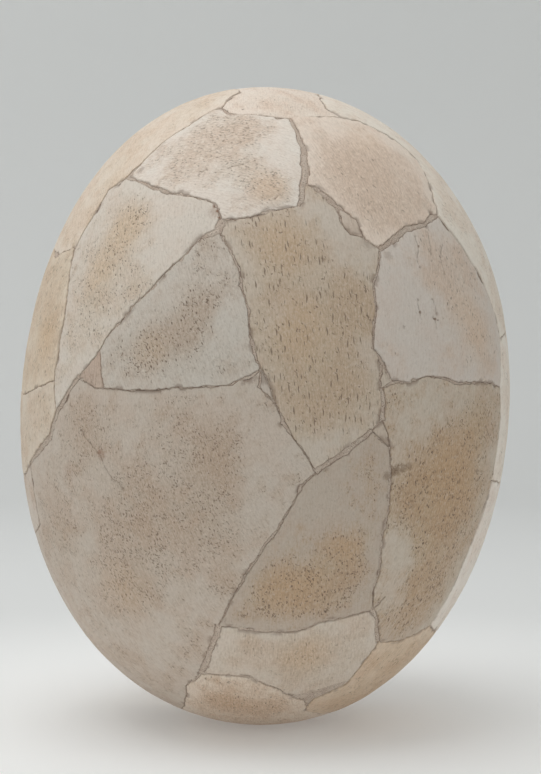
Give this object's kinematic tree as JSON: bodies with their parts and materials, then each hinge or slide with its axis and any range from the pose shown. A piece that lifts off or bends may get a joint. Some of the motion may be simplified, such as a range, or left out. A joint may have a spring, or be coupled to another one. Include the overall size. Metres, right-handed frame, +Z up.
{
  "type": "elephant bird egg",
  "caption": "Large hollow egg mended from many thick shell sherds with gritty filler in the wide joints, standing upright on a small flat spot.",
  "frame": {"origin": "centre of the egg's plan, on the surface that its flat spot rests on", "axes": "+Z up along the egg's long axis; -Y is the front, the side that the picture shows"},
  "size_m": [0.2321, 0.2312, 0.3],
  "materials": {
    "cream_shell": "dull to faintly satin, fine pores",
    "pale_shell": "dull to faintly satin, small dark pores",
    "grey_shell": "dull, pitted with dark pores",
    "pink_shell": "dull, finely speckled",
    "tan_shell": "dull, with long slit pores",
    "joint_filler": "rough, gritty"
  },
  "bodies": {
    "root": {"crown": "cream_shell", "left_shoulder": "cream_shell", "lens_chip": "cream_shell", "lower_band": "cream_shell", "back_crown_left": "cream_shell", "back_chip": "cream_shell", "back_right_lower": "cream_shell", "back_foot_left": "cream_shell", "upper_middle": "pale_shell", "right_shoulder": "pale_shell", "sliver_chip": "pale_shell", "right_rim_upper": "pale_shell", "right_rim_lower": "pale_shell", "corner_chip": "pale_shell", "notch_chip": "pale_shell", "back_diamond": "pale_shell", "middle_left": "grey_shell", "right_upper": "grey_shell", "back_right_upper": "grey_shell", "back_left_middle": "grey_shell", "back_foot_middle": "grey_shell", "upper_right": "pink_shell", "left_rim_sliver": "pink_shell", "left_chip": "pink_shell", "lower_left": "pink_shell", "foot": "pink_shell", "back_crown_right": "pink_shell", "back_heart_left": "pink_shell", "back_left_lower": "pink_shell", "back_foot_right": "pink_shell", "left_upper": "tan_shell", "left_rim_upper": "tan_shell", "left_rim_lower": "tan_shell", "centre": "tan_shell", "right_lower": "tan_shell", "lower_centre": "tan_shell", "lower_right": "tan_shell", "back_left_upper": "tan_shell", "back_heart_right": "tan_shell", "back_centre": "tan_shell", "band_filler": "joint_filler", "spur_filler": "joint_filler", "shoulder_filler": "joint_filler", "corner_filler": "joint_filler", "middle_filler": "joint_filler", "left_filler": "joint_filler", "lower_corner_filler": "joint_filler", "lower_right_filler": "joint_filler", "wedge_filler": "joint_filler"}
  },
  "joints": []
}
